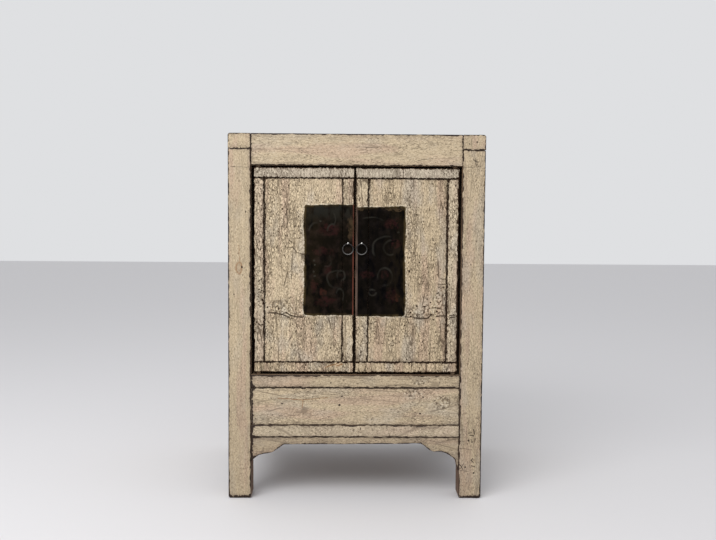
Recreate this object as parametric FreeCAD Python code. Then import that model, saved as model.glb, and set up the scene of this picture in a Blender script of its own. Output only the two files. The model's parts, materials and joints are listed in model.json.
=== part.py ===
import FreeCAD, Part
import math
import os

Vector = FreeCAD.Vector

# A lacquered kang cabinet: a mortised frame of posts and rails, boards tongued into it,
# and two framed doors that turn on wooden pivots. Sizes are in millimetres.
# The origin is on the floor under the middle, +Z is up and the doors face -Y.

# Whole cabinet
width = 600.0
depth = 450.0
height = 860.0

# Posts, and the two end members that lie front to back on top of them
post_width = 54.0
post_depth = 50.0
top_end_height = 36.0
foot_wear = 2.5

# Rails between the posts
rail_thickness = 34.0
top_rail_height = 74.0
middle_rail_top = 296.0
middle_rail_height = 31.0
lower_rail_top = 176.0
lower_rail_height = 29.0

# Eased long edges of every bar
arris = 1.2

# Mortise and tenon joints
tenon_thickness = 12.0
tenon_setback = 8.0
tenon_shoulder = 5.0
tenon_wall = 6.0
post_tenon_width = 24.0
post_tenon_length = 22.0
stub_tenon_length = 9.0
stub_tenon_shoulder = 3.0
joint_fit = 0.15

# Boards, with a tongue round them that sits in a groove of the frame
board_thickness = 14.0
board_setback = 1.0
board_gap = 0.5
tongue_thickness = 6.0
tongue_length = 8.0
tongue_setback = 4.0
groove_fit = 0.25
lap_length = 9.0

# Battens under the top boards
top_batten_spacing = 300.0
top_batten_width = 30.0
top_batten_height = 20.0
top_key_narrow = 14.0
top_key_wide = 19.0
top_key_rise = 5.0

# Cupboard floor, the board that lifts out of it, and the bottom of the hidden compartment
floor_setdown = 4.0
lift_board_width = 122.0
lift_board_gap = 1.5
finger_hole_radius = 12.0
floor_bearer_spacing = 300.0
floor_bearer_width = 28.0
floor_bearer_height = 24.0

# Shelf
shelf_top = 540.0
shelf_thickness = 16.0
shelf_gap = 1.0
shelf_bearer_width = 18.0
shelf_bearer_height = 22.0
door_stop_gap = 0.5

# Aprons: how far they hang below the lower rail, in the middle and at their ears
apron_setback = 2.0
apron_thickness = 16.0
apron_drop = 18.0
left_ear_drop = 59.0
left_ear_run = 90.0
right_ear_drop = 87.0
right_ear_run = 120.0
side_ear_drop = 58.0
side_ear_run = 66.0
apron_tongue_length = 6.0
apron_tongue_drop = 50.0

# Doors
door_thickness = 22.0
door_setback = 4.0
hinge_gap = 6.0
door_top_gap = 4.0
door_bottom_gap = 5.0
meeting_gap = 3.5
meeting_shift = -4.0
door_rail_height = 25.0
left_hinge_stile_width = 25.0
right_hinge_stile_width = 28.0
left_meeting_stile_width = 27.0
right_meeting_stile_width = 30.0
door_tongue_length = 6.0
door_tenon_thickness = 10.0
door_tenon_width = 12.0
door_tenon_length = 16.0
door_batten_height = 24.0
door_key_narrow = 14.0
door_key_wide = 18.0
door_key_rise = 4.0
door_batten_tenon_length = 6.0
door_batten_tenon_height = 12.0
door_batten_tenon_shoulder = 1.0
door_batten_shares = (0.22, 0.78)

# Pivots turned on the ends of the hinge stiles
pivot_inset = 16.0
pivot_radius = 6.0
top_pivot_length = 16.0
bottom_pivot_length = 12.0
pivot_fit = 0.3

# Ring pulls, each hung in the eye of a bent strip of iron
pull_height = 304.0
pull_inset = 14.2
strip_width = 3.0
strip_thickness = 1.4
eye_hole_radius = 2.2
eye_standoff = 4.0
neck_radius = 1.5
leg_gap = 0.2
pin_hole_fit = 0.3
clench_radius = 1.6
clench_length = 9.0
clench_gap = 0.1
ring_radius = 12.4
ring_wire_radius = 1.6
ring_sag = 0.3
ring_flats = 8

# Ear outlines, from the post towards the middle: shares of the ear's run and of its drop below
# the middle of the apron. Each stretch is an arc through a point to an end, or a line to an end.
# The right ear runs out in a thin tail down the post.
left_ear_shares = (
    ((0.10, 0.79), (0.21, 0.62)),
    ((0.36, 0.55), (0.52, 0.49)),
    ((0.66, 0.32), (0.79, 0.11)),
    ((0.86, 0.02), (0.94, 0.0)),
)
right_ear_shares = (
    ((0.035, 0.77), (0.065, 0.54)),
    ((0.17, 0.38), (0.34, 0.245)),
    (None, (0.49, 0.245)),
    ((0.585, 0.18), (0.66, 0.07)),
    ((0.705, 0.015), (0.75, -0.03)),
    ((0.875, -0.045), (1.0, -0.025)),
)

left = -1
right = 1
along_x = Vector(1, 0, 0)
along_y = Vector(0, 1, 0)
along_z = Vector(0, 0, 1)
parallel_limit = 0.001

post_top = height - top_end_height
top_rail_bottom = height - top_rail_height
middle_rail_bottom = middle_rail_top - middle_rail_height
lower_rail_bottom = lower_rail_top - lower_rail_height
floor_top = middle_rail_top - floor_setdown
floor_underside = floor_top - board_thickness
door_bottom = middle_rail_top + door_bottom_gap
door_top = top_rail_bottom - door_top_gap
door_front = door_setback - depth / 2
door_back = door_front + door_thickness
pivot_y = door_front + door_thickness / 2

pieces = {}
rooms = []
receivers = []


class Span:
    """A block of space, kept as its low and high limit along each axis."""

    def __init__(self, x, y, z):
        self.x = tuple(sorted(x))
        self.y = tuple(sorted(y))
        self.z = tuple(sorted(z))

    def grown(self, x=0, y=0, z=0):
        """The same block with each pair of its faces moved outwards."""
        return Span(
            (self.x[0] - x, self.x[1] + x),
            (self.y[0] - y, self.y[1] + y),
            (self.z[0] - z, self.z[1] + z),
        )

    def loose(self, fit):
        """The same block with clearance all round."""
        return self.grown(fit, fit, fit)

    def solid(self):
        """The block as a solid."""
        corner = Vector(self.x[0], self.y[0], self.z[0])
        return Part.makeBox(
            self.x[1] - self.x[0], self.y[1] - self.y[0], self.z[1] - self.z[0], corner
        )


def bar(span, along):
    """A planed bar whose long edges are eased."""
    block = span.solid()
    long_edges = []
    for edge in block.Edges:
        if edge.tangentAt(edge.FirstParameter).cross(along).Length < parallel_limit:
            long_edges.append(edge)
    return block.makeChamfer(arris, long_edges)


def place(side, across, inward, up):
    """The block at these distances across one side, in from its face and above the floor."""
    if side == "front":
        return Span(across, (inward[0] - depth / 2, inward[1] - depth / 2), up)
    if side == "rear":
        return Span(across, (depth / 2 - inward[0], depth / 2 - inward[1]), up)
    if side == "left":
        return Span((inward[0] - width / 2, inward[1] - width / 2), across, up)
    return Span((width / 2 - inward[0], width / 2 - inward[1]), across, up)


def clear_half(side):
    """Half the clear distance between the two posts of a side."""
    if side in ("front", "rear"):
        return width / 2 - post_width
    return depth / 2 - post_depth


def tenon_reach(side):
    """How far a rail's tenon enters a post: it stops short of the tenon from the next side."""
    post_size = post_width if side in ("front", "rear") else post_depth
    return post_size - tenon_setback - tenon_thickness - tenon_wall


def add(name, body, enters=(), fit=joint_fit, takes=False):
    """Join a piece to the tenons that enter its neighbours, and note the room they need there."""
    shape = body
    for span in enters:
        shape = shape.fuse(span.solid())
        rooms.append((name, span.loose(fit).solid()))
    pieces[name] = shape.removeSplitter()
    if takes:
        receivers.append(name)


def cut_rooms(name):
    """Cut the mortises, grooves and sockets that the neighbours need in a piece."""
    shape = pieces[name]
    for owner, room in rooms:
        if owner != name and room.BoundBox.intersect(shape.BoundBox):
            shape = shape.cut(room)
    pieces[name] = shape


# Posts and the members on top of them


def post_span(x_side, y_side):
    """The block of one post, from the floor to the joint under the end member."""
    x = (x_side * width / 2, x_side * (width / 2 - post_width))
    y = (y_side * depth / 2, y_side * (depth / 2 - post_depth))
    return Span(x, y, (0, post_top))


def all_post_spans():
    """The blocks of the four posts."""
    return [post_span(x_side, y_side) for x_side in (left, right) for y_side in (left, right)]


def post(name, x_side, y_side):
    """A post with worn lower edges and a tenon that holds the end member."""
    span = post_span(x_side, y_side)
    block = span.solid()
    foot_edges = [edge for edge in block.Edges if edge.BoundBox.ZMax < parallel_limit]
    body = bar(span, along_z).common(block.makeChamfer(foot_wear, foot_edges))
    middle_x = (span.x[0] + span.x[1]) / 2
    middle_y = (span.y[0] + span.y[1]) / 2
    half = post_tenon_width / 2
    tenon = Span(
        (middle_x - half, middle_x + half),
        (middle_y - half, middle_y + half),
        (post_top, post_top + post_tenon_length),
    )
    add(name, body, [tenon], takes=True)


def top_end(name, side):
    """The member that lies front to back on two posts and shows its end grain at the front."""
    span = place(side, (-depth / 2, depth / 2), (0, post_width), (post_top, height))
    add(name, bar(span, along_y), takes=True)


def rail(name, side, bottom, top, tenon_top):
    """A rail between two posts, flush with their faces, with a tenon at each end."""
    half = clear_half(side)
    reach = half + tenon_reach(side)
    body = place(side, (-half, half), (0, rail_thickness), (bottom, top))
    inward = (tenon_setback, tenon_setback + tenon_thickness)
    up = (bottom + tenon_shoulder, tenon_top - tenon_shoulder)
    tenons = [place(side, (sign * half, sign * reach), inward, up) for sign in (left, right)]
    along = along_x if side in ("front", "rear") else along_y
    add(name, bar(body, along), tenons, takes=True)


# Boards that stand in the sides


def board_inward():
    """How deep an upright board lies behind the face of its side."""
    return (board_setback, board_setback + board_thickness)


def tongue_inward():
    """How deep the tongue of an upright board lies behind the face of its side."""
    start = board_setback + tongue_setback
    return (start, start + tongue_thickness)


def upright_board(name, side, bottom, top):
    """A board between two posts and two rails, tongued into all four."""
    half = clear_half(side)
    body = place(
        side,
        (board_gap - half, half - board_gap),
        board_inward(),
        (bottom + board_gap, top - board_gap),
    )
    tongue = place(
        side,
        (-half - tongue_length, half + tongue_length),
        tongue_inward(),
        (bottom - tongue_length, top + tongue_length),
    )
    add(name, body.solid(), [tongue], fit=groove_fit)


def back_boards(names, bottom, top):
    """Upright boards across the back, half lapped to each other and tongued into the frame."""
    half = clear_half("rear")
    pitch = 2 * half / len(names)
    inward = board_inward()
    lap_inward = (inward[0], (inward[0] + inward[1]) / 2)
    up = (bottom + board_gap, top - board_gap)
    for index, name in enumerate(names):
        first = index == 0
        last = index == len(names) - 1
        start = index * pitch - half
        end = start + pitch
        body = place("rear", (start + board_gap, end - board_gap), inward, up).solid()
        if not last:
            body = body.fuse(place("rear", (start + pitch / 2, end + lap_length), lap_inward, up).solid())
        if not first:
            notch_end = start + lap_length + board_gap
            notch = place("rear", (start, notch_end), (0, lap_inward[1] + board_gap), up)
            body = body.cut(notch.solid())
        tongue = place(
            "rear",
            (
                start - tongue_length if first else start + lap_length + board_gap,
                end + tongue_length if last else end - board_gap,
            ),
            tongue_inward(),
            (bottom - tongue_length, top + tongue_length),
        )
        add(name, body, [tongue], fit=groove_fit)


# Boards that lie flat


def lying_board(name, y, top, end_x, front_tongue, rear_tongue):
    """A board that runs from side to side, tongued into the frame round it and cut round the posts."""
    body = Span((board_gap - end_x, end_x - board_gap), y, (top - board_thickness, top))
    tongue_top = top - tongue_setback
    tongue = Span(
        (-end_x - tongue_length, end_x + tongue_length),
        (
            y[0] - tongue_length if front_tongue else y[0],
            y[1] + tongue_length if rear_tongue else y[1],
        ),
        (tongue_top - tongue_thickness, tongue_top),
    )
    shape = body.solid().fuse(tongue.solid()).removeSplitter()
    room = tongue.loose(groove_fit).solid()
    if top < post_top:
        for span in all_post_spans():
            shape = shape.cut(span.loose(board_gap).solid())
            room = room.cut(span.solid())
    pieces[name] = shape
    rooms.append((name, room))


def dovetail(start, along, across, rise, narrow, wide):
    """A key that is narrow where it leaves a batten and wide at its top."""
    corners = [
        start - across * (narrow / 2),
        start + across * (narrow / 2),
        start + across * (wide / 2) + rise,
        start - across * (wide / 2) + rise,
    ]
    return Part.Face(Part.makePolygon(corners + corners[:1])).extrude(along)


def top_boards(names):
    """The boards of the top, with their battens keyed into them from below."""
    half = depth / 2 - rail_thickness
    pitch = 2 * half / len(names)
    top = height - board_setback
    for index, name in enumerate(names):
        first = index == 0
        last = index == len(names) - 1
        start = index * pitch - half + (board_gap if first else 0)
        end = (index + 1) * pitch - half - (board_gap if last else 0)
        lying_board(name, (start, end), top, clear_half("front"), first, last)


def top_batten(name, x_side, board_names):
    """A batten under the top boards, keyed into them and tenoned into the front and rear rails."""
    half = depth / 2 - rail_thickness
    middle = x_side * top_batten_spacing / 2
    top = height - board_setback - board_thickness
    x = (middle - top_batten_width / 2, middle + top_batten_width / 2)
    z = (top - top_batten_height, top)
    body = bar(Span(x, (-half, half), z), along_y)
    run = along_y * (2 * half)
    start = Vector(middle, -half, top)
    key = dovetail(start, run, along_x, along_z * top_key_rise, top_key_narrow, top_key_wide)
    groove = dovetail(
        start,
        run,
        along_x,
        along_z * (top_key_rise + joint_fit),
        top_key_narrow + 2 * joint_fit,
        top_key_wide + 2 * joint_fit,
    )
    for board_name in board_names:
        pieces[board_name] = pieces[board_name].cut(groove)
    tenons = stub_tenons(x, half, z)
    add(name, body.fuse(key), tenons)


def stub_tenons(x, half, z):
    """Short tenons at the front and rear ends of a bar that runs front to back."""
    tenon_x = (x[0] + stub_tenon_shoulder, x[1] - stub_tenon_shoulder)
    tenon_z = (z[0] + stub_tenon_shoulder, z[1] - stub_tenon_shoulder)
    reach = half + stub_tenon_length
    return [Span(tenon_x, (sign * half, sign * reach), tenon_z) for sign in (left, right)]


def floor_bearer(name, x_side):
    """A bearer under the cupboard floor, tenoned into the front and rear middle rails."""
    half = depth / 2 - rail_thickness
    middle = x_side * floor_bearer_spacing / 2
    x = (middle - floor_bearer_width / 2, middle + floor_bearer_width / 2)
    z = (floor_underside - floor_bearer_height, floor_underside)
    tenons = stub_tenons(x, half, (middle_rail_bottom, floor_underside))
    add(name, bar(Span(x, (-half, half), z), along_y), tenons)


def cupboard_floor():
    """Two fixed floor boards, and between them the board that lifts out."""
    half = depth / 2 - rail_thickness
    inner_x = width / 2 - rail_thickness
    lift_half = lift_board_width / 2
    lying_board("floor_board_front", (board_gap - half, -lift_half), floor_top, inner_x, True, False)
    lying_board("floor_board_rear", (lift_half, half - board_gap), floor_top, inner_x, False, True)
    span = Span(
        (lift_board_gap - inner_x, inner_x - lift_board_gap),
        (lift_board_gap - lift_half, lift_half - lift_board_gap),
        (floor_underside, floor_top),
    )
    hole = Part.makeCylinder(finger_hole_radius, board_thickness, Vector(0, 0, floor_underside), along_z)
    pieces["lift_board"] = bar(span, along_x).cut(hole)


def compartment_bottom():
    """Two boards that close the hidden compartment from below."""
    half = depth / 2 - rail_thickness
    inner_x = width / 2 - rail_thickness
    top = lower_rail_top - floor_setdown
    lying_board("bottom_board_front", (board_gap - half, 0), top, inner_x, True, False)
    lying_board("bottom_board_rear", (0, half - board_gap), top, inner_x, False, True)


def shelf():
    """A shelf cut round the posts and the turning hinge stiles; its front edge stops the doors."""
    end_x = width / 2 - board_inward()[1] - shelf_gap
    rear = depth / 2 - board_inward()[1] - shelf_gap
    span = Span((-end_x, end_x), (door_back + door_stop_gap, rear), (shelf_top - shelf_thickness, shelf_top))
    shape = span.solid()
    for each in all_post_spans():
        shape = shape.cut(each.loose(shelf_gap).solid())
    half = clear_half("front")
    swing = math.hypot(pivot_inset - hinge_gap, door_thickness / 2) + 2 * shelf_gap
    for sign in (left, right):
        pivot_x = sign * (half - pivot_inset)
        relief = Span((sign * half, pivot_x - sign * swing), (door_back, pivot_y + swing), span.z)
        shape = shape.cut(relief.loose(shelf_gap).solid())
    pieces["shelf_board"] = shape


def shelf_bearer(name, side):
    """A bearer along a side panel, tenoned into the front and rear post."""
    half = clear_half(side)
    start = board_inward()[1]
    inward = (start, start + shelf_bearer_width)
    up = (shelf_top - shelf_thickness - shelf_bearer_height, shelf_top - shelf_thickness)
    body = place(side, (-half, half), inward, up)
    tenons = stub_tenons(body.x, half, body.z)
    add(name, bar(body, along_y), tenons)


# Aprons


class Ear:
    """The outline of the end of an apron, where it drops beside a post."""

    def __init__(self, drop, run, shares):
        self.drop = drop
        self.run = run
        self.shares = shares

    def point(self, origin, across, share):
        """The place at these shares of the ear's run and drop."""
        fall = apron_drop + (self.drop - apron_drop) * share[1]
        return origin + across * (self.run * share[0]) - along_z * fall

    def edges(self, origin, across):
        """The edges of the lower outline and its last point, from the post towards the middle."""
        start = origin - along_z * self.drop
        outline = []
        for via_share, end_share in self.shares:
            end = self.point(origin, across, end_share)
            if via_share is None:
                outline.append(Part.LineSegment(start, end).toShape())
            else:
                via = self.point(origin, across, via_share)
                outline.append(Part.Arc(start, via, end).toShape())
            start = end
        return outline, start


def apron(name, side, low_ear, high_ear):
    """A shaped board under a lower rail, tongued into the rail and into both posts."""
    half = clear_half(side)
    corner = place(side, (-half, half), (apron_setback, apron_setback + apron_thickness), (0, 0))
    if side in ("front", "rear"):
        across = along_x
        thickness = along_y * apron_thickness
    else:
        across = along_y
        thickness = along_x * apron_thickness
    low = Vector(corner.x[0], corner.y[0], lower_rail_bottom)
    high = low + across * (2 * half)
    low_edges, low_end = low_ear.edges(low, across)
    high_edges, high_end = high_ear.edges(high, across * -1)
    outline = low_edges
    outline.append(Part.LineSegment(low_end, high_end).toShape())
    outline.extend(reversed(high_edges))
    outline.append(Part.LineSegment(high - along_z * high_ear.drop, high).toShape())
    outline.append(Part.LineSegment(high, low).toShape())
    outline.append(Part.LineSegment(low, low - along_z * low_ear.drop).toShape())
    body = Part.Face(Part.Wire(Part.__sortEdges__(outline))).extrude(thickness)
    tongue_start = apron_setback + (apron_thickness - tongue_thickness) / 2
    inward = (tongue_start, tongue_start + tongue_thickness)
    tongue_top = lower_rail_bottom + apron_tongue_length
    tongue_bottom = lower_rail_bottom - apron_tongue_drop
    tongues = [place(side, (-half, half), inward, (lower_rail_bottom, tongue_top))]
    for sign in (left, right):
        reach = sign * (half + apron_tongue_length)
        tongues.append(place(side, (sign * half, reach), inward, (tongue_bottom, lower_rail_bottom)))
    add(name, body, tongues, fit=groove_fit)


# Doors


class Door:
    """The edges of one door and the widths of its stiles."""

    def __init__(self, name, sign, hinge_stile_width, meeting_stile_width):
        self.name = name
        self.sign = sign
        self.hinge_x = sign * (clear_half("front") - hinge_gap)
        self.meeting_x = meeting_shift + sign * meeting_gap / 2
        self.pivot_x = sign * (clear_half("front") - pivot_inset)
        self.hinge_inner_x = self.hinge_x - sign * hinge_stile_width
        self.meeting_inner_x = self.meeting_x + sign * meeting_stile_width
        self.pull_x = self.meeting_x + sign * pull_inset
        self.rail_inner_z = (door_bottom + door_rail_height, door_top - door_rail_height)

    def node(self, piece):
        """The full name of one of this door's pieces."""
        return f"{piece}_{self.name}"


def door_rails(door):
    """The top and bottom rails, which run over the ends of both stiles."""
    inner_bottom, inner_top = door.rail_inner_z
    x = (door.hinge_x, door.meeting_x)
    y = (door_front, door_back)
    add(door.node("door_top_rail"), bar(Span(x, y, (inner_top, door_top)), along_x), takes=True)
    add(door.node("door_bottom_rail"), bar(Span(x, y, (door_bottom, inner_bottom)), along_x), takes=True)


def pivot(x, z, length, up):
    """A round pivot that stands on the end of a hinge stile."""
    return Part.makeCylinder(pivot_radius, length, Vector(x, pivot_y, z), up)


def hinge_stile(door):
    """The hinge stile: it passes through both rails as a tenon and ends in two round pivots."""
    inner_bottom, inner_top = door.rail_inner_z
    body = bar(
        Span((door.hinge_x, door.hinge_inner_x), (door_front, door_back), (inner_bottom, inner_top)),
        along_z,
    )
    half = door_tenon_width / 2
    tenon = Span(
        (door.pivot_x - half, door.pivot_x + half),
        (pivot_y - half, pivot_y + half),
        (door_bottom, door_top),
    )
    top_length = door_top_gap + top_pivot_length
    bottom_length = door_bottom_gap + bottom_pivot_length
    body = body.fuse(pivot(door.pivot_x, door_top, top_length, along_z))
    body = body.fuse(pivot(door.pivot_x, door_bottom, bottom_length, along_z * -1))
    name = door.node("door_hinge_stile")
    add(name, body, [tenon], takes=True)
    socket_length = height_of_sockets() + 2 * pivot_fit
    socket_start = Vector(door.pivot_x, pivot_y, middle_rail_top - bottom_pivot_length - pivot_fit)
    rooms.append((name, Part.makeCylinder(pivot_radius + pivot_fit, socket_length, socket_start, along_z)))


def height_of_sockets():
    """The distance between the ends of the two pivots of a door."""
    return top_rail_bottom + top_pivot_length - middle_rail_top + bottom_pivot_length


def meeting_stile(door):
    """The stile at the meeting edge, with a stub tenon in each rail and the hole for the ring pin."""
    inner_bottom, inner_top = door.rail_inner_z
    x = (door.meeting_x, door.meeting_inner_x)
    middle = (x[0] + x[1]) / 2
    half = door_tenon_width / 2
    tenon = Span(
        (middle - half, middle + half),
        (pivot_y - door_tenon_thickness / 2, pivot_y + door_tenon_thickness / 2),
        (inner_bottom - door_tenon_length, inner_top + door_tenon_length),
    )
    body = bar(Span(x, (door_front, door_back), (inner_bottom, inner_top)), along_z)
    add(door.node("door_meeting_stile"), body, [tenon], takes=True)


def door_panel(door):
    """The flush board of a door, tongued into its frame."""
    inner_bottom, inner_top = door.rail_inner_z
    sign = door.sign
    front = door_front + board_setback
    body = Span(
        (door.hinge_inner_x - sign * board_gap, door.meeting_inner_x + sign * board_gap),
        (front, front + board_thickness),
        (inner_bottom + board_gap, inner_top - board_gap),
    )
    tongue = Span(
        (
            door.hinge_inner_x + sign * door_tongue_length,
            door.meeting_inner_x - sign * door_tongue_length,
        ),
        (front + tongue_setback, front + tongue_setback + tongue_thickness),
        (inner_bottom - door_tongue_length, inner_top + door_tongue_length),
    )
    add(door.node("door_panel"), body.solid(), [tongue], fit=groove_fit)


def door_battens(door):
    """Two battens behind the panel, keyed into it and tenoned into the stiles."""
    inner_bottom, inner_top = door.rail_inner_z
    sign = door.sign
    panel_back = door_front + board_setback + board_thickness
    x = (door.hinge_inner_x, door.meeting_inner_x)
    panel_name = door.node("door_panel")
    solids = []
    for share in door_batten_shares:
        middle = inner_bottom + share * (inner_top - inner_bottom)
        half = door_batten_height / 2
        body = Span(x, (panel_back, door_back), (middle - half, middle + half)).solid()
        start = Vector(min(x), panel_back, middle)
        run = along_x * abs(x[1] - x[0])
        rise = along_y * -1
        key = dovetail(start, run, along_z, rise * door_key_rise, door_key_narrow, door_key_wide)
        groove = dovetail(
            start,
            run,
            along_z,
            rise * (door_key_rise + joint_fit),
            door_key_narrow + 2 * joint_fit,
            door_key_wide + 2 * joint_fit,
        )
        pieces[panel_name] = pieces[panel_name].cut(groove)
        tenon_half = door_batten_tenon_height / 2
        tenon = Span(
            (x[0] + sign * door_batten_tenon_length, x[1] - sign * door_batten_tenon_length),
            (panel_back + door_batten_tenon_shoulder, door_back - door_batten_tenon_shoulder),
            (middle - tenon_half, middle + tenon_half),
        )
        rooms.append((door.node("door_battens"), tenon.loose(joint_fit).solid()))
        solids.append(body.fuse(key).fuse(tenon.solid()).removeSplitter())
    pieces[door.node("door_battens")] = Part.makeCompound(solids)


# Ring pulls


def eye_centre(door):
    """The middle of the eye that a ring hangs in."""
    return Vector(door.pull_x, door_front - eye_standoff, door_bottom + pull_height)


def forged_section(centre, radius, first, second):
    """The outline of a forged ring across its bar, a little flat all round."""
    corners = []
    for index in range(ring_flats):
        angle = 2 * math.pi * (index + 0.5) / ring_flats
        corners.append(centre + first * (radius * math.cos(angle)) + second * (radius * math.sin(angle)))
    return Part.makePolygon(corners + corners[:1])


def arc_between(centre, radius, start, end):
    """The shorter arc about a centre from one point to another."""
    middle = (start - centre) + (end - centre)
    middle.normalize()
    return Part.Arc(start, centre + middle * radius, end).toShape()


def half_pin(eye, up, offset):
    """One face of a leg of the strip, from its clenched tip to where the round of the eye begins."""
    loop_radius = eye_hole_radius + strip_thickness / 2
    leg_offset = (strip_thickness + leg_gap) / 2
    neck_run = math.sqrt((loop_radius + neck_radius) ** 2 - (leg_offset + neck_radius) ** 2)
    neck_centre = eye + along_y * neck_run + up * (leg_offset + neck_radius)
    to_neck = (neck_centre - eye).normalize()
    neck_start = eye + to_neck * (loop_radius + offset)
    neck_end = eye + along_y * neck_run + up * (leg_offset + offset)
    clench_y = door_back + strip_thickness / 2 + clench_gap - eye.y
    bend_centre = eye + along_y * (clench_y - clench_radius) + up * (leg_offset + clench_radius)
    bend_start = bend_centre - up * (clench_radius - offset)
    bend_end = bend_centre + along_y * (clench_radius - offset)
    tip = bend_end + up * clench_length
    edges = [
        Part.LineSegment(tip, bend_end).toShape(),
        arc_between(bend_centre, clench_radius - offset, bend_end, bend_start),
        Part.LineSegment(bend_start, neck_end).toShape(),
        arc_between(neck_centre, neck_radius - offset, neck_end, neck_start),
    ]
    return edges, tip, neck_start


def strip_face(eye, offset):
    """One face of the bent strip from tip to tip, and its two ends."""
    upper, upper_tip, loop_start = half_pin(eye, along_z, offset)
    lower, lower_tip, loop_end = half_pin(eye, along_z * -1, offset)
    loop_front = eye - along_y * (eye_hole_radius + strip_thickness / 2 + offset)
    loop = Part.Arc(loop_start, loop_front, loop_end).toShape()
    return upper + [loop] + lower, upper_tip, lower_tip


def ring_pin(door):
    """A strip bent to an eye, passed through the meeting stile and clenched behind it."""
    eye = eye_centre(door) - along_x * (strip_width / 2)
    outer, outer_top, outer_bottom = strip_face(eye, strip_thickness / 2)
    inner, inner_top, inner_bottom = strip_face(eye, -strip_thickness / 2)
    ends = [
        Part.LineSegment(outer_top, inner_top).toShape(),
        Part.LineSegment(outer_bottom, inner_bottom).toShape(),
    ]
    outline = Part.Wire(Part.__sortEdges__(outer + inner + ends))
    name = door.node("ring_pin")
    pieces[name] = Part.Face(outline).extrude(along_x * strip_width)
    hole_radius = math.hypot(strip_width / 2, strip_thickness + leg_gap / 2) + pin_hole_fit
    hole_start = Vector(door.pull_x, door_front, eye.z)
    rooms.append((name, Part.makeCylinder(hole_radius, door_thickness, hole_start, along_y)))


def pull_ring(door):
    """The ring, hanging in its eye."""
    eye = eye_centre(door)
    section_centre = eye - along_z * ring_sag
    ring_centre = section_centre - along_z * ring_radius
    section = forged_section(section_centre, ring_wire_radius, along_y, along_z)
    pieces[door.node("ring")] = Part.Face(section).revolve(ring_centre, along_y, 360)


def build():
    """Make every piece, then cut the housings that their neighbours need."""
    for x_name, x_side in (("left", left), ("right", right)):
        post(f"post_front_{x_name}", x_side, left)
        post(f"post_rear_{x_name}", x_side, right)
        top_end(f"top_end_{x_name}", x_name)
    for side in ("front", "rear"):
        rail(f"top_rail_{side}", side, top_rail_bottom, height, post_top)
    for side in ("front", "rear", "left", "right"):
        rail(f"middle_rail_{side}", side, middle_rail_bottom, middle_rail_top, middle_rail_top)
        rail(f"lower_rail_{side}", side, lower_rail_bottom, lower_rail_top, lower_rail_top)
        upright_board(f"lower_panel_{side}", side, lower_rail_top, middle_rail_bottom)
    for side in ("left", "right"):
        upright_board(f"side_panel_{side}", side, middle_rail_top, post_top)
    back_boards(
        ["back_board_left", "back_board_middle", "back_board_right"], middle_rail_top, top_rail_bottom
    )
    top_names = ["top_board_front", "top_board_middle", "top_board_rear"]
    top_boards(top_names)
    top_batten("top_batten_left", left, top_names)
    top_batten("top_batten_right", right, top_names)
    floor_bearer("floor_bearer_left", left)
    floor_bearer("floor_bearer_right", right)
    cupboard_floor()
    compartment_bottom()
    shelf()
    shelf_bearer("shelf_bearer_left", "left")
    shelf_bearer("shelf_bearer_right", "right")
    left_ear = Ear(left_ear_drop, left_ear_run, left_ear_shares)
    right_ear = Ear(right_ear_drop, right_ear_run, right_ear_shares)
    apron("apron_front", "front", left_ear, right_ear)
    side_ear = Ear(side_ear_drop, side_ear_run, left_ear_shares)
    apron("apron_left", "left", side_ear, side_ear)
    apron("apron_right", "right", side_ear, side_ear)
    for door in (
        Door("left", left, left_hinge_stile_width, left_meeting_stile_width),
        Door("right", right, right_hinge_stile_width, right_meeting_stile_width),
    ):
        door_rails(door)
        hinge_stile(door)
        meeting_stile(door)
        door_panel(door)
        door_battens(door)
        ring_pin(door)
        pull_ring(door)
    for name in receivers:
        cut_rooms(name)


def write_pieces():
    """Write one file for each piece and say what was made."""
    os.makedirs("parts", exist_ok=True)
    for name, shape in pieces.items():
        shape.exportStep(f"parts/{name}.step")
        print(name, len(shape.Solids), round(shape.Volume), shape.isValid())
    print(len(pieces), "pieces")


build()
write_pieces()
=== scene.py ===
# %% [markdown]
# # A kang cabinet in crackled cream lacquer
# This is a small east asian cupboard: four posts, mortised rails, tongued boards and two doors
# that turn on wooden pivots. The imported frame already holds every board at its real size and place.
# What is left for this script is the look: worn arrises, old paint, bare wood inside, and the light.
# The frame could be repainted as it stands, but its boards are perfectly flat and sharp, so each
# board is copied, worn in code as hands and floors wear it, and the copy stands for the original.

# %% Load the frame
import json
import math
import random

import bmesh
import bpy
import numpy as np
from mathutils import Matrix, Vector, noise


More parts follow.
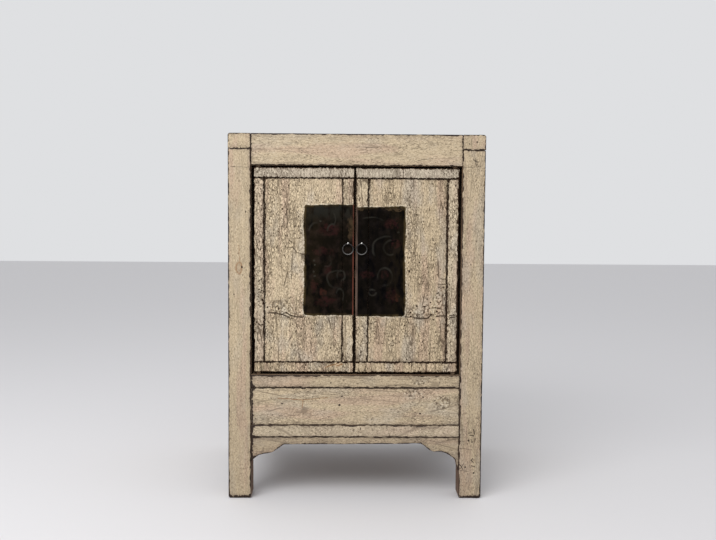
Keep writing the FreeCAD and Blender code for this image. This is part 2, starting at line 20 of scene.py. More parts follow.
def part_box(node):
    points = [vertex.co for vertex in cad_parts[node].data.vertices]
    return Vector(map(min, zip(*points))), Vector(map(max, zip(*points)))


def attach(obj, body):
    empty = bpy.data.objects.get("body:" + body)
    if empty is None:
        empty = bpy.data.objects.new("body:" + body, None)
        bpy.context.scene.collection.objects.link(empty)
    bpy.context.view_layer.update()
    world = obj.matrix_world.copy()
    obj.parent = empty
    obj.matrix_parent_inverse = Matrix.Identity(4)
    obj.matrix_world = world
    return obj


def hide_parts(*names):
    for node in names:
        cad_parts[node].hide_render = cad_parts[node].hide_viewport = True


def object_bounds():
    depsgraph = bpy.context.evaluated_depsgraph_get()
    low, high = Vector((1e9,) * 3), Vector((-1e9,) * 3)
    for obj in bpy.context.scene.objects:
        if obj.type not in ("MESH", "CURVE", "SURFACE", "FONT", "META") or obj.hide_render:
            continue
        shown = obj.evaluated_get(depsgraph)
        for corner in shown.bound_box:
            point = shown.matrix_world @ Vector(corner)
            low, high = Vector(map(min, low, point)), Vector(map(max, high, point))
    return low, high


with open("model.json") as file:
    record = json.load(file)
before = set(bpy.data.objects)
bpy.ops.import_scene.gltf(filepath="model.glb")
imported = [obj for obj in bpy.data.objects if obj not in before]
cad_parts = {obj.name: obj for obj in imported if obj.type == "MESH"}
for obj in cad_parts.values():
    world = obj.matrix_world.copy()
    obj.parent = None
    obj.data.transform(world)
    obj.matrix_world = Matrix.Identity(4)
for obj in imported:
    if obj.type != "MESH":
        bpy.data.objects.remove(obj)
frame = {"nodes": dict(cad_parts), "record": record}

MM = 0.001
frame_low, frame_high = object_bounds()
record = frame["record"]
body_of = {node: body for body, nodes in record["behaviour"]["bodies"].items() for node in nodes}
print("frame", len(frame["nodes"]), "pieces, box", tuple(round(v, 3) for v in frame_high - frame_low))

# %% [markdown]
# ## The camera
# The photograph was taken by hand, almost square on, from about three quarters of the cabinet's
# height. The camera could be pointed with a constraint, but a hand-held view also rolls a little,
# so its turn is written out: first the roll about the lens, then the tilt, then the turn sideways.
# The lens follows from how much of the left leg's inner side shows beside its front.

# %% Camera
lens_mm = 37.98
post_low, post_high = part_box("post_front_left")
camera_place = Vector((-24.1 * MM, post_low.y - 1763 * MM, 640.9 * MM))
tilt_down, turn_right, roll = (math.radians(a) for a in (3.152, 0.906, 0.3925))

camera = bpy.data.objects.new("camera", bpy.data.cameras.new("camera"))
camera.data.lens = lens_mm
aim = Matrix.Rotation(-turn_right, 4, "Z") @ Matrix.Rotation(math.pi / 2 - tilt_down, 4, "X")
camera.matrix_world = Matrix.Translation(camera_place) @ aim @ Matrix.Rotation(roll, 4, "Z")
bpy.context.scene.collection.objects.link(camera)
bpy.context.scene.camera = camera
print("camera", round((post_low.y - camera_place.y) / MM), "mm before the front")

# %% [markdown]
# ## Shader maths as expressions
# Old lacquer is many thin layers, and each layer is a mask: a crack, a rubbed edge, a patch of
# grime. Wiring those by hand is slow to read. Here one small class wraps a socket, so that a mask
# can be written as a sum, a product or a comparison, and each operator adds the node it needs.

# %% Sockets that can be added and multiplied
X, Y, Z = range(3)


class Socket:
    """One output of a material's nodes, with the operators that its masks need."""

    def __init__(self, tree, output=None):
        self.tree, self.output = tree, output

    def node(self, kind, settings, values, output=0):
        """Adds a node: its settings are made first, then the values or links of its sockets."""
        made = self.tree.nodes.new(kind)
        for name, value in settings.items():
            setattr(made, name, value)
        for name, value in values.items():
            if isinstance(value, Socket):
                self.tree.links.new(value.output, made.inputs[name])
            else:
                made.inputs[name].default_value = value
        return Socket(self.tree, made.outputs[output])

    def math(self, operation, *values):
        return self.node("ShaderNodeMath", {"operation": operation}, dict(enumerate(values)))

    def vector(self, operation, *values, output=0):
        return self.node("ShaderNodeVectorMath", {"operation": operation}, dict(enumerate(values)), output)

    def __add__(self, other):
        return self.math("ADD", self, other)

    def __sub__(self, other):
        return self.math("SUBTRACT", self, other)

    def __rsub__(self, other):
        return self.math("SUBTRACT", other, self)

    def __mul__(self, other):
        return self.math("MULTIPLY", self, other)

    __radd__, __rmul__ = __add__, __mul__

    def rise(self, low, high):
        """0 up to low, 1 from high on, and smooth between. With low above high it falls."""
        values = {"Value": self, "From Min": low, "From Max": high}
        return self.node("ShaderNodeMapRange", {"interpolation_type": "SMOOTHSTEP"}, values)

    def mix(self, first, second):
        """This mask as a mix of two colours: the first where it is 0, the second where it is 1."""
        return self.node("ShaderNodeMix", {"data_type": "RGBA"}, {0: self, 6: first, 7: second}, 2)

    def shaded(self, number):
        """This colour made darker or lighter by a number."""
        settings = {"data_type": "RGBA", "blend_type": "MULTIPLY"}
        return self.node("ShaderNodeMix", settings, {0: 1.0, 6: self, 7: number}, 2)

    def most(self, other):
        return self.math("MAXIMUM", self, other)

    def part(self, axis):
        """One number of a vector."""
        return self.node("ShaderNodeSeparateXYZ", {}, {"Vector": self}, axis)

    def length(self):
        return self.vector("LENGTH", self, output=1)

    def absolute(self):
        return self.math("ABSOLUTE", self)

    def stretched(self, *sizes):
        """Places counted in cells of these sizes in millimetres, for a texture whose scale is 1."""
        return self.vector("MULTIPLY", self, [1 / (size * MM) for size in sizes])

    def cloud(self, *sizes, detail=2.0, output=0):
        """Soft noise from 0 to 1 with cells of these sizes in millimetres."""
        values = {"Vector": self.stretched(*sizes), "Scale": 1.0, "Detail": detail}
        return self.node("ShaderNodeTexNoise", {}, values, output)

    def shaken(self, size, reach):
        """These places, pushed about by up to reach millimetres in waves of that size."""
        push = self.cloud(size, size, size, output=1)
        centred = push.vector("SUBTRACT", push, (0.5,) * 3)
        return centred.vector("MULTIPLY_ADD", centred, (2 * reach * MM,) * 3, self)

    def cells(self, *sizes, feature="DISTANCE_TO_EDGE", output=0):
        """Cells like dried mud, of these sizes: how far a place is from its cell's rim or middle."""
        values = {"Vector": self.stretched(*sizes), "Scale": 1.0}
        return self.node("ShaderNodeTexVoronoi", {"feature": feature}, values, output)


def attribute(start, name, output=2):
    """A value that the mesh carries: its number, or with output 1 its vector."""
    return start.node("ShaderNodeAttribute", {"attribute_name": name}, {}, output)


def object_place(start):
    """Where a spot is on the cabinet, in metres."""
    return start.node("ShaderNodeTexCoord", {}, {}, 3)


def new_material(name):
    """A material, its surface node, and a first socket to start expressions from."""
    material = bpy.data.materials.new(name)
    material.use_nodes = True
    tree = material.node_tree
    return material, tree.nodes["Principled BSDF"], Socket(tree)


def connect(surface, tree, **sockets):
    """Puts numbers, colours or sockets on the surface node; an underscore stands for a space."""
    for name, value in sockets.items():
        socket = surface.inputs[name.replace("_", " ")]
        if isinstance(value, Socket):
            tree.links.new(value.output, socket)
        else:
            socket.default_value = value


def bumped(height, strength, depth):
    """A normal that rises and falls with a height from 0 to 1, over that depth in metres."""
    return height.node("ShaderNodeBump", {}, {"Strength": strength, "Distance": depth, "Height": height})


print("materials are written as expressions")

# %% [markdown]
# ## A worn board
# Every board has been handled for generations, so no edge is still straight. A bevel modifier would
# round all edges alike. Instead the board's mesh is copied and its triangles joined into whole flat
# faces. The narrow chamfer on each arris is rounded with a bevel, the faces are sliced into a fine
# net, and the net is pushed inwards: a little everywhere, and more near the arrises.
# Wear only takes wood away, so a board never grows into its neighbour.

# %% Copy a board and round its arrises
SHARP, FLAT = math.radians(30), math.radians(1)
weld_reach, arris_ease, shortest_arris = 0.01 * MM, 0.5 * MM, 5 * MM


def plain_copy(node):
    """A board's mesh with its triangles joined into whole flat faces."""
    mesh = bmesh.new()
    mesh.from_mesh(frame["nodes"][node].data)
    bmesh.ops.remove_doubles(mesh, verts=mesh.verts, dist=weld_reach)
    bmesh.ops.dissolve_limit(mesh, angle_limit=FLAT, verts=mesh.verts, edges=mesh.edges)
    return mesh


def outward_lines(mesh):
    """The start and end of every sharp line that points out of the wood."""
    sharp = [edge for edge in mesh.edges if edge.calc_face_angle_signed() > SHARP]
    return np.array([[vert.co for vert in edge.verts] for edge in sharp])


def ease_arrises(mesh):
    """Rounds the two lines of each narrow chamfer; square shoulders and grooves stay crisp."""
    chamfer = [
        edge
        for edge in mesh.edges
        if SHARP < edge.calc_face_angle_signed() < 2 * SHARP and edge.calc_length() > shortest_arris
    ]
    bmesh.ops.bevel(
        mesh, geom=chamfer, offset=arris_ease, offset_type="OFFSET", segments=2, profile=0.5,
        affect="EDGES", material=-1, clamp_overlap=True,
    )


print("arrises eased by", arris_ease / MM, "mm")

# %% [markdown]
# ### The net of slices
# Wear is widest at the arrises, so the slices lie close together there and further apart on open
# faces. A grid of quads would have to be fitted to each outline; slicing with planes works on any
# board, and on the ogee ears of the aprons too. The axis that needs the most slices is cut first,
# while the board still has few faces, because every cut has to look at all of them.

# %% Slice a board and measure how far each corner is from an arris
near_arris = (2.2 * MM, 5 * MM)
closest_slices, cut_reach = 0.9 * MM, 0.02 * MM
long_line, level_within = 20 * MM, 0.1 * MM


def slice_places(lines, axis, step):
    """Where to cut across an axis: evenly, and close beside each long arris."""
    low, high = lines[:, :, axis].min(), lines[:, :, axis].max()
    level = np.abs(lines[:, 0, axis] - lines[:, 1, axis]) < level_within
    long = np.linalg.norm(lines[:, 0] - lines[:, 1], axis=1) > long_line
    arrises = lines[level & long][:, 0, axis]
    wanted = [a + side * reach for a in arrises for side in (-1, 1) for reach in near_arris]
    wanted += list(np.linspace(low, high, max(2, round((high - low) / step)) + 1))[1:-1]
    kept = []
    for place in sorted(wanted):
        if low < place < high and (not kept or place - kept[-1] > closest_slices):
            kept.append(place)
    return kept


def slice_up(mesh, lines, step):
    """Cuts the faces into a net with that step."""
    cuts = [[(axis, place) for place in slice_places(lines, axis, step)] for axis in (X, Y, Z)]
    for axis, place in sum(sorted(cuts, key=len, reverse=True), []):
        point, across = Vector(), Vector()
        point[axis], across[axis] = place, 1
        everything = mesh.verts[:] + mesh.edges[:] + mesh.faces[:]
        bmesh.ops.bisect_plane(mesh, geom=everything, dist=cut_reach, plane_co=point, plane_no=across)


def distances(mesh, lines):
    """How far each vertex is from the nearest sharp line, in metres."""
    places = np.array([vert.co for vert in mesh.verts])
    nearest = np.full(len(places), 1.0)
    for start, end in lines:
        run = end - start
        share = np.clip((places - start) @ run / (run @ run), 0, 1)
        gap = np.linalg.norm(places - start - share[:, None] * run, axis=1)
        nearest = np.minimum(nearest, gap)
    return nearest


print("slices lie", [round(near / MM, 1) for near in near_arris], "mm beside each arris")

# %% [markdown]
# ### Wear
# Two depths are taken off: a shallow one that waves over the whole face, as a hand plane leaves it,
# and a deeper one that fades out a few millimetres from the arris and is uneven along it. The
# corners of the top and of the feet have been knocked round, so there each place is pulled in to a
# small arc of the cabinet's outline.

# %% Push a board's surface inwards
plane_wave, plane_depth = 90 * MM, 0.35 * MM
rub_wave, rub_depth, rub_reach = 22 * MM, 0.75 * MM, 4.5 * MM
nick_wave, nick_depth = 7 * MM, 0.5 * MM
leg_middle, leg_half = abs(post_low.x + post_high.x) / 2, (post_high.x - post_low.x) / 2
knocked_corners = (
    (0, frame_high.x, frame_high.z, 1, 7 * MM),
    (leg_middle, leg_half, frame_low.z, -1, 8 * MM),
)


def swell(place):
    """Soft noise from 0 to 1."""
    return 0.5 + 0.5 * noise.noise(place)


def wear_depth(place, gap, salt):
    """How much wood is gone at a place that lies that far from an arris."""
    shift = Vector((salt, 0, 0))
    planed = plane_depth * swell(place / plane_wave + shift)
    fade = max(0.0, 1 - gap / rub_reach) ** 2
    rubbed = rub_depth * swell(place / rub_wave + shift)
    nicked = nick_depth * max(0.0, noise.noise(place / nick_wave + shift))
    return planed + fade * (rubbed + nicked)


def knock_round(place):
    """Pulls a place in to the rounded corners of the cabinet's outline."""
    for middle, half, level, way, radius in knocked_corners:
        off = abs(place.x) - middle
        across, up = abs(off) - half + radius, way * (place.z - level) + radius
        reach = math.hypot(across, up)
        if across > 0 and up > 0 and reach > radius:
            new_off = math.copysign(half - radius + across * radius / reach, off)
            place.x = math.copysign(middle + new_off, place.x)
            place.z = level + way * (up * radius / reach - radius)


def wear(mesh, gaps, salt):
    """Moves each vertex into the wood."""
    mesh.normal_update()
    moves = [
        vert.normal * -wear_depth(vert.co, gap, salt)
        for vert, gap in zip(mesh.verts, gaps.tolist())
    ]
    for vert, move in zip(mesh.verts, moves):
        vert.co += move
        knock_round(vert.co)


print("arrises are worn up to", (plane_depth + rub_depth + nick_depth) / MM, "mm")

# %% [markdown]
# ## What is painted
# A cupboard like this is lacquered only where it shows. The outer faces are cream, over an older
# dark lacquer that still covers the doors' pivots, the inner sides of the legs and the undersides of
# the aprons. The inside and the back were never painted, and the edges of the doors are rubbed back
# to the wood. One board often has all three, so each face of a board is given a finish by where it
# lies and which way it looks.

# %% The finish of each face
CREAM, DARK, BARE = range(3)
outward = 0.3       # how much of a normal has to point a way
skin = 8 * MM       # how far behind the outermost face a painted one may lie
leg_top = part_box("lower_rail_front")[0].z
opening_low, opening_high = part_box("middle_rail_front")[1].z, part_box("top_rail_front")[0].z
door_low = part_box("door_panel_left")[0]
meeting_x = (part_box("door_meeting_stile_left")[1].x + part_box("door_meeting_stile_right")[0].x) / 2
door_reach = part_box("door_hinge_stile_right")[1].x - meeting_x


def carcass_finish(node, place, normal):
    """The finish of a face of the standing part of the cabinet."""
    on_side = normal.x * place.x > 0 and abs(normal.x) > outward and abs(place.x) > frame_high.x - skin
    on_front = normal.y < -outward and place.y < post_low.y + skin
    on_top = normal.z > outward and place.z > frame_high.z - skin
    if on_side or on_front or on_top:
        return CREAM
    on_leg = node.startswith(("post", "apron")) and place.z < leg_top
    return DARK if on_leg and normal.y < outward else BARE


def door_finish(node, place, normal):
    """The finish of a face of a door: cream in front, bare on its outline and behind, else dark."""
    if normal.y < -outward and place.y < door_low.y + skin / 2:
        return CREAM
    off = abs(place.x - meeting_x)
    at_side = off < skin / 2 or off > door_reach - skin / 2
    at_end = min(place.z - opening_low, opening_high - place.z) < skin
    on_outline = (at_side or at_end) and opening_low < place.z < opening_high
    return BARE if on_outline or normal.y > outward or "battens" in node else DARK


print("the doors' opening is", round((opening_high - opening_low) / MM), "mm high")

# %% [markdown]
# ## From a frame piece to a finished board
# The paint needs to know a few things about a board: which way its grain runs, how far each spot is
# from an arris, and how badly its lacquer is crazed, soiled and greyed. A texture on the object's
# own coordinates could give only one grain direction for all boards, so each mesh carries the
# answers as attributes. The grain runs along the longest side of a board, and each board starts at
# its own spot of the pattern, as boards from different trees do. Where hands and feet rub most, a
# spot counts as closer to its arris than it is, and the paint there wears further back. Each of
# those boxes is two corners in millimetres and how much closer the spots in it count.

# %% Make one worn, painted board
chance = random.Random(7)
board_spread, salt_spread = 3.0, 99
widest_gap = 16 * MM
fine_step, plain_step, hidden_step = 4 * MM, 7 * MM, 18 * MM
rubbed_more = (
    ((-246.5, 0, 60), (-236, 0, 300), 2.9),
    ((-240, 0, 288), (-60, 0, 300), 1.6),
    ((-302, 0, -2), (302, 0, 10), 3.6),
    ((-302, 0, 850), (302, 0, 862), 0.7),
    ((-236, 0, 80), (240, 0, 136), 1.0),
    ((-303, 0, 0), (-297, 0, 862), 0.9),
    ((297, 0, 0), (303, 0, 862), 1.4),
    ((-302, 0, 819), (-246, 0, 829), 1.0),
    ((246, 0, 819), (302, 0, 829), 1.0),
    ((235, 0, 300), (243, 0, 783), 1.4),
    ((-219, 0, 320), (-208, 0, 757), 0.4),
    ((206, 0, 320), (217, 0, 757), 0.6),
)
rub_fade = 3 * MM
age_names = ("crazed", "soiled", "greyed")


def rubbed_by(places):
    """How much closer to an arris each spot counts, because it is rubbed more."""
    more = np.zeros(len(places))
    for low, high, reach in rubbed_more:
        deep = [np.minimum(places[:, a] - low[a] * MM, high[a] * MM - places[:, a]) for a in (X, Z)]
        inside = np.clip(np.minimum(*deep) / rub_fade + 0.5, 0, 1)
        on_front = places[:, Y] < post_low.y + skin
        more = np.maximum(more, inside * reach * MM * on_front)
    return more


def carry(mesh, name, kind, values):
    """Writes one value per vertex into the mesh."""
    layer = mesh.attributes.new(name, kind, "POINT")
    values = np.asarray(values, np.float32).ravel()
    layer.data.foreach_set("vector" if kind == "FLOAT_VECTOR" else "value", values)


def grain_places(places, upright):
    """Places measured along, across and through a board, from a start of its own."""
    order = np.argsort(-(places.max(0) - places.min(0)))
    if upright:
        order = np.array([Z, X, Y])
    start = np.array([chance.uniform(0, board_spread) for _ in range(3)])
    return places[:, order] + start


def shade_smooth(mesh):
    """Smooth faces, with every shoulder and groove left sharp."""
    for face in mesh.faces:
        face.smooth = True
    for edge in mesh.edges:
        edge.smooth = abs(edge.calc_face_angle_signed(0.0)) < SHARP


def new_piece(name, mesh, node, materials):
    """A piece that stands for a node, rides on the node's body and has its finish."""
    data = bpy.data.meshes.new(name)
    mesh.to_mesh(data)
    mesh.free()
    for material in materials:
        data.materials.append(material)
    piece = bpy.data.objects.new(name, data)
    bpy.context.scene.collection.objects.link(piece)
    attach(piece, body_of[node])
    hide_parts(node)
    return piece


def worn_board(node, materials, age, step, finish, upright=False):
    """Copies a node, wears it, gives each face its finish, and stands it in the node's place."""
    mesh = plain_copy(node)
    lines = outward_lines(mesh)
    ease_arrises(mesh)
    slice_up(mesh, lines, step)
    gaps = distances(mesh, lines)
    places = np.array([vert.co for vert in mesh.verts])
    for face in mesh.faces:
        face.material_index = finish(node, face.calc_center_median(), face.normal)
    wear(mesh, gaps, chance.uniform(0, salt_spread))
    shade_smooth(mesh)
    piece = new_piece("worn_" + node, mesh, node, materials)
    carry(piece.data, "edge_gap", "FLOAT", np.clip(gaps - rubbed_by(places), 0, widest_gap))
    carry(piece.data, "grain", "FLOAT_VECTOR", grain_places(places, upright))
    for name, value in zip(age_names, age):
        carry(piece.data, name, "FLOAT", np.full(len(gaps), value))


print("nets of", [step / MM for step in (fine_step, plain_step, hidden_step)], "mm")

# %% [markdown]
# ## The cream lacquer
# Cream lacquer over a dark one, dried for a century: it has crazed into narrow plates along the
# grain, lost flakes where the plates curled, and gone through to the dark coat on every arris.
# An image would give all this at one size only, so it is built from cells and noise in millimetres.
# Four patterns lie over each other, from fine to coarse: dark and pale dashes, a net, plates like
# dried mud, and a few long splits that follow the wood. The dark ones are strongest on the boards
# that are crazed most. All cells are measured along, across and through the grain.

# %% Cream colour, cracks and wear
cream_warm, cream_pink = (0.515, 0.41, 0.27, 1), (0.495, 0.368, 0.255, 1)
cream_grey, flake_pale = (0.45, 0.395, 0.315, 1), (0.76, 0.68, 0.53, 1)
crack_brown, coat_brown = (0.062, 0.042, 0.027, 1), (0.024, 0.013, 0.008, 1)
drift_cells, grey_cells, streak_cells = (200, 28, 70), (100, 40, 50), (120, 4.5, 20)
dash_cells, net_cells, plate_cells, split_cells = (5.6, 2.1, 2.5), (8.4, 6.2, 7), (34, 8.5, 10), (240, 17, 30)
flake_cells, spot_cells = (8, 3.2, 4), (45, 30, 30)
grey_most, streak_light, crazed_light, least_light = 0.7, 0.16, 0.38, 0.74
dash_most, net_most, plate_most, split_most = 0.95, 0.7, 0.6, 0.95
plain_dashes, plain_plates = 0.27, 0.07         # what shows even where nothing is crazed
plate_gap, least_gap = 0.09, 0.01               # the width of a crack, as a share of a cell
rub_ragged, rub_wider, rub_edge = 8.0, 0.7, (0.8, 1.5)


def cream_colour(grain, crazed, greyed):
    """Cream that drifts between warm, pinkish and grey, with faint streaks along the grain."""
    drift = grain.cloud(*drift_cells).rise(0.46, 0.62).mix(cream_warm, cream_pink)
    patches = grain.cloud(*grey_cells, detail=3.0).rise(0.48, 0.68) * (crazed * grey_most)
    drift = patches.most(greyed).mix(drift, cream_grey)
    streaks = grain.cloud(*streak_cells, detail=3.0).rise(0.25, 0.75)
    return drift.shaded(streaks * streak_light + crazed * crazed_light + least_light)


def dashes(grain):
    """Fine noise drawn out a little along the grain: its high side is dark, its low side pale."""
    return grain.cloud(*dash_cells, detail=3.0)


def cracks(grain, crazed):
    """How open the cracks are, from 0 to 1: dashes, a fine net, long plates and longer splits."""
    patch = grain.cloud(70, 30, 40).rise(0.35, 0.65) * 0.5 + 0.57
    fine = dashes(grain).rise(0.555, 0.62) * (crazed * patch * dash_most + plain_dashes)
    net = grain.shaken(8, 2).cells(*net_cells).rise(0.11, 0.03) * (crazed * patch * net_most)
    width = patch * crazed * plate_gap + least_gap
    plates = 1 - grain.shaken(20, 4).cells(*plate_cells).rise(width * 0.3, width)
    plates = plates * (crazed * patch * plate_most + plain_plates)
    splits = 1 - grain.shaken(50, 3).cells(*split_cells).rise(0.012, 0.034)
    splits = splits * grain.cloud(70, 20, 30).rise(0.44, 0.54) * crazed
    return fine.most(net).most(plates).most(splits * split_most)


def rubbed_through(grain, gap):
    """Where the cream is gone beside an arris: the gap to it is in metres, the rest in millimetres."""
    ragged = (grain.cloud(13, 6, 6, detail=3.0) - 0.5) * rub_ragged
    wide = grain.cloud(70, 30, 30).rise(0.45, 0.75) * rub_wider
    return 1 - (gap * (1 / MM) - ragged - wide).rise(*rub_edge)


def lost_spots(grain, crazed):
    """Small places where a plate fell off or a nail was filled."""
    flakes = grain.cloud(*flake_cells, detail=1.0).rise(0.70, 0.74) * crazed
    spot = grain.cells(*spot_cells, feature="F1")
    which = grain.cells(*spot_cells, feature="F1", output=1).part(X)
    return flakes.most((1 - spot.rise(0.035, 0.055)) * which.rise(0.7, 0.72))


print("cream", cream_warm[:3], "to", cream_grey[:3])

# %% [markdown]
# ### Marks with a place of their own
# Besides the crazing, which is the same everywhere, this cabinet has marks that anyone who knows it
# would look for: a knot showing through the left post, chips down the right leg, a hairline crack
# along the lower panel, a scratch low on the left door, rows of dark checks across both doors, and
# rough patches where the paint has come up in scales. They could be cut into the boards, but they
# are thinner than the paint, so each is an oval or a line on the front. An oval has its middle and
# its two reaches, a line its two ends and its width, all in millimetres.

# %% Ovals and lines on the front
chips = (
    (-173, 227, 2.8, 1.8), (-58.6, 277, 2.2, 1.6), (-38, 224, 2.8, 3.0), (-32, 245, 2.4, 1.6),
    (153, 204, 2.2, 1.8), (160, 243, 1.9, 1.6), (12, 168, 1.2, 3.2), (-258, 678, 1.2, 3.0),
    (124, 541, 2.4, 3.4), (119, 490, 1.8, 3.0), (148, 562, 1.6, 2.4), (269, 140, 2.0, 2.6),
    (262, 76, 2.4, 2.0), (282, 62, 1.8, 2.2), (-267, 549, 2.2, 2.8), (143, 459, 2.4, 2.0),
    (161, 458, 2.8, 1.8), (128, 444, 2.0, 2.0), (114, 434, 2.4, 1.6), (129, 435, 2.6, 1.5),
    (144, 435, 1.5, 3.6), (176, 439, 2.6, 2.2), (182, 427, 2.0, 2.0), (190, 446, 2.6, 2.0),
    (205, 504, 3.0, 1.5), (195, 504, 2.0, 1.5), (175, 468, 1.6, 2.0), (167, 476, 1.6, 1.8),
    (279, 843, 2.0, 1.6), (261, 838, 1.6, 1.5), (-227, 497, 1.8, 1.8), (-222, 494, 2.0, 1.6),
    (-228, 484, 1.6, 1.6), (-220, 472, 2.6, 3.2), (-218, 464, 2.0, 3.4), (-212, 465, 1.8, 1.8),
    (-234, 420, 1.8, 2.0), (-229, 415, 2.2, 1.6), (-220, 414, 2.2, 1.8), (-182, 452, 1.4, 4.0),
    (-208, 455, 2.0, 1.5),
)
knot, knot_core = (-274, 547, 8.2, 14.6), (-274, 547, 5.6, 11.8)
oval_edge, line_edge = (1.25, 0.75), (0.7, 0.3)
orange_lines = (
    (-183, 240, -124, 236, 1.6), (-124, 236, -65, 242, 1.4), (-124, 236, -127, 217, 1.6),
    (-72, 313, -54, 319, 2.2), (-54, 319, -37, 325, 2.4), (-46, 317, -32, 321, 2.4),
    (-274, 600, -273, 562, 1.2),
)
dark_lines = (
    (-169, 603, -162, 593, 1.2), (-162, 593, -150, 595, 1.8), (-150, 595, -139, 584, 1.8),
    (-139, 584, -123, 579, 2.0), (-165, 683, -162, 650, 1.8), (-156, 683, -154, 666, 1.4),
    (-182, 641, -181, 606, 1.3), (-152, 571, -151, 519, 1.2), (-172, 669, -172, 643, 1.2),
    (-229, 515, -221, 522, 2.8), (-206, 441, -189, 441, 3.2), (-189, 441, -172, 437, 3.2),
    (-172, 437, -157, 431, 3.4), (-174, 438, -165, 443, 2.8), (-165, 443, -154, 435, 2.8),
    (-154, 435, -127, 431, 2.8), (-127, 431, -117, 439, 2.8), (273, 802, 277, 799, 2.0),
    (275, 797, 283, 797, 1.8), (277, 790, 281, 792, 2.0), (265, 849, 266, 833, 1.0),
    (115, 435, 142, 431, 2.6), (142, 431, 169, 431, 4.0), (169, 431, 176, 439, 3.6),
    (189, 435, 211, 436, 3.6), (220, 438, 231, 438, 2.8), (221, 433, 232, 433, 3.8),
    (180, 455, 197, 454, 2.4), (203, 447, 207, 437, 2.4), (197, 524, 210, 522, 1.6),
    (192, 512, 209, 511, 1.6), (-292, 782, -250, 781, 1.0), (244, 783, 288, 787, 1.0),
    (20, 828, 48, 829, 1.2), (140, 800, 175, 803, 1.2), (-250, 824.5, -247, 827, 2.6),
    (-247, 827, -245, 835, 2.4), (-226, 756, -219, 754, 2.6), (-219, 754, -214, 747, 2.8),
    (-214, 747, -213.4, 729, 2.4), (268, 158, 276, 159, 2.4), (280, 166, 282, 156, 2.4),
    (272, 152, 280, 152, 3.0), (284, 146, 284, 136, 2.0), (276, 142, 278, 135, 1.8),
    (248, 120, 277, 119, 0.9), (276, 91, 280, 97, 2.4), (279, 91, 281, 86, 2.2),
    (276, 79, 285, 77, 1.8), (248, 83, 258, 69, 1.9), (257, 83, 250, 71, 1.9),
    (249, 67, 270, 66, 1.1),
)
rough_patches = (
    (-225, 479, 8, 34), (-177, 455, 34, 20), (-231, 410, 13, 20), (-155, 437, 34, 9),
    (165, 447, 44, 17), (200, 474, 17, 32), (120, 443, 16, 11), (135, 250, 22, 11),
    (205, 230, 24, 20), (150, 279, 16, 8),
)


def oval(place, x, z, wide, high):
    """1 inside an oval on the front."""
    offset = place.vector("SUBTRACT", place, (x * MM, 0, z * MM))
    return place.vector("MULTIPLY", offset, (1 / (wide * MM), 0, 1 / (high * MM))).length().rise(*oval_edge)


def line(place, start_x, start_z, end_x, end_z, thick):
    """1 along a line on the front."""
    run = Vector((end_x - start_x, 0, end_z - start_z)) * MM
    offset = place.vector("SUBTRACT", place, (start_x * MM, 0, start_z * MM))
    offset = place.vector("MULTIPLY", offset, (1, 0, 1))
    share = place.vector("DOT_PRODUCT", offset, run / run.length_squared, output=1)
    share = place.node("ShaderNodeClamp", {}, {"Value": share})
    foot = place.node("ShaderNodeVectorMath", {"operation": "SCALE"}, {0: run, "Scale": share})
    return place.vector("SUBTRACT", offset, foot).length().rise(*(thick * part * MM for part in line_edge))


def most_of(masks):
    """The strongest of several masks."""
    masks = list(masks)
    total = masks[0]
    for mask in masks[1:]:
        total = total.most(mask)
    return total


def marks(place):
    """The chips, the knot, the orange hairlines, the dark cracks and the rough patches, as masks."""
    front = place.part(Y).rise(post_low.y + skin, post_low.y + skin * 0.7)
    ragged, wavy = place.shaken(4, 1.4), place.shaken(20, 3).shaken(5, 0.8)
    chipped = most_of(oval(ragged, *chip) for chip in chips)
    orange = most_of(line(wavy, *ends) for ends in orange_lines)
    dark = most_of(line(wavy, *ends) for ends in dark_lines)
    knotted = oval(wavy, *knot) - oval(wavy, *knot_core) * 0.8
    rough = most_of(oval(place.shaken(20, 8), *patch) for patch in rough_patches)
    return chipped * front, knotted * front, orange * front, dark * front, rough * front


print(len(chips), "chips,", len(orange_lines) + len(dark_lines), "lines")

# %% [markdown]
# ### The layers together
# Each layer is laid over the one before, in the order in which time did it: the colour, its pale
# flakes, a brown that is grime and painted shade beside the arrises and low down, cracks, the
# marks, and last what is rubbed through to the dark coat.
# The same masks lower the surface, so that a crack is darker and deeper at the same place.

# %% Cream lacquer
# the grime brown is also the colour of the painted shade beside the arrises and low down
orange_brown, grime_and_shade_brown = (0.22, 0.105, 0.040, 1), (0.20, 0.15, 0.105, 1)
speck_cells, rough_dark, rough_pale, dash_pale = (5.2, 4.8, 5.6), 0.95, 0.5, 0.26
low_grime_and_shade_share, arris_grime_and_shade_share, arris_grime_and_shade_reach = 0.14, 0.4, 12 * MM
crack_shows, orange_shows, knot_shows, dark_shows = 0.85, 0.85, 0.9, 0.85
crack_deep, coat_deep = 0.6, 0.5


